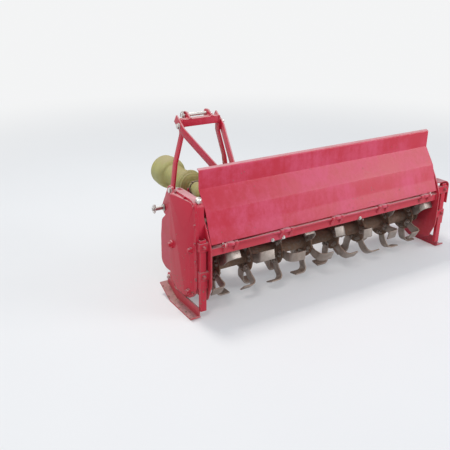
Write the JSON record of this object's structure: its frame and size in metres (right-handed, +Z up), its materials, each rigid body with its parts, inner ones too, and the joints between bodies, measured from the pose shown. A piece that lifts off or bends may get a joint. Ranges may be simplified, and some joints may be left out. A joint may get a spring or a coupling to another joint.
{
  "type": "rotary tiller",
  "caption": "Tractor-mounted rotary tiller with a side chain case, tined rotor, three-point mast, guarded driveline and a folded-up rear board.",
  "frame": {"origin": "middle of the footprint's box on the floor, level with the skids' soles", "axes": "+X to the machine's right across its working width, +Y forward in the direction of travel, towards the tractor, +Z up"},
  "size_m": [1.823, 0.992, 0.948],
  "materials": {
    "red_paint": "sun-faded gloss red, dusty",
    "rotor_paint": "worn red paint under dry soil",
    "tine_steel": "soil-polished steel",
    "pin_steel": "zinc-plated, greasy",
    "guard_plastic": "faded yellow plastic"
  },
  "bodies": {
    "frame": {"deck": "red_paint", "side_plate_left": "red_paint", "side_plate_right": "red_paint", "front_beam": "red_paint", "rear_beam": "red_paint", "hitch_plate_left": "red_paint", "hitch_plate_right": "red_paint", "hitch_pins": "pin_steel", "mast_leg_left": "red_paint", "mast_leg_right": "red_paint", "mast_cross_tube": "red_paint", "top_link_lugs": "red_paint", "top_link_pin": "pin_steel", "brace_left": "red_paint", "brace_right": "red_paint", "brace_post": "red_paint", "gearbox": "red_paint", "gearbox_cover": "red_paint", "drive_tube": "red_paint", "side_case": "red_paint", "side_case_cover": "red_paint", "rotor_bearing": "red_paint", "skid_left": "red_paint", "skid_right": "red_paint", "skid_mounts": "red_paint", "skid_strut_left": "red_paint", "skid_strut_right": "red_paint", "strut_clamps": "red_paint", "tailgate_stops": "red_paint", "hinge_brackets": "red_paint", "hinge_rod": "pin_steel", "guard_tube": "guard_plastic", "guard_cone_rear": "guard_plastic", "guard_cone_front": "guard_plastic", "shaft_rest": "red_paint"},
    "rotor": {"rotor_tube": "rotor_paint", "rotor_flanges": "rotor_paint", "tines_left": "tine_steel", "tines_right": "tine_steel"},
    "tailgate": {"tailgate_panel": "red_paint", "tailgate_leaves": "red_paint", "tailgate_ribs": "red_paint"},
    "driveline": {"input_shaft": "pin_steel", "rear_fork": "pin_steel", "joint_crosses": "pin_steel", "middle_shaft": "pin_steel", "front_fork": "pin_steel"}
  },
  "joints": [
    {"name": "rotor_spin", "type": "hinge", "parent": "frame", "child": "rotor", "pos_m": [-0.0155, -0.314, 0.205], "axis": [1, 0, 0], "continuous": true},
    {"name": "driveline_spin", "type": "hinge", "parent": "frame", "child": "driveline", "pos_m": [-0.6185, -0.082, 0.515], "axis": [0, 1, 0], "continuous": true},
    {"name": "tailgate_swing", "type": "hinge", "parent": "frame", "child": "tailgate", "pos_m": [-0.0155, -0.485, 0.385], "axis": [1, 0, 0], "range_deg": [0, 180]}
  ],
  "couplings": [
    {"joint": "driveline_spin", "follows": "rotor_spin", "ratio": -2.5}
  ]
}
